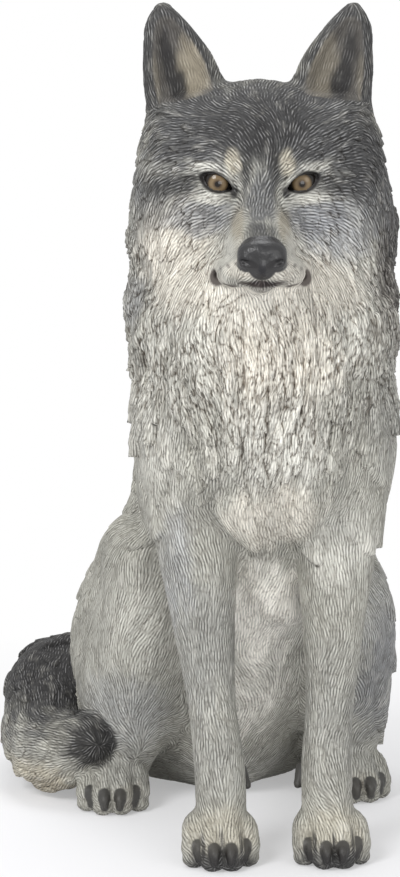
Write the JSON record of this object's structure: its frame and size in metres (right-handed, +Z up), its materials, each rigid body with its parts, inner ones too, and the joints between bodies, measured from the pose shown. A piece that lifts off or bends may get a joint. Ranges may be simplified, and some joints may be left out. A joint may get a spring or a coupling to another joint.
{
  "type": "wolf figurine",
  "caption": "Seated wolf, near life size, cast in one piece with carved fur and painted; it stands on its paws and rump, tail curled round its right side",
  "frame": {"origin": "middle of the bounding box's base, on the floor the wolf sits on", "axes": "+Z is up, -Y is the way the wolf faces, +X is the wolf's left"},
  "size_m": [0.4072, 0.565, 0.7993],
  "materials": {
    "painted_resin": "matt hand-painted grey, cream and charcoal fur over cast resin, glossed eyes and nose"
  },
  "bodies": {
    "root": {"wolf": "painted_resin"}
  },
  "joints": []
}
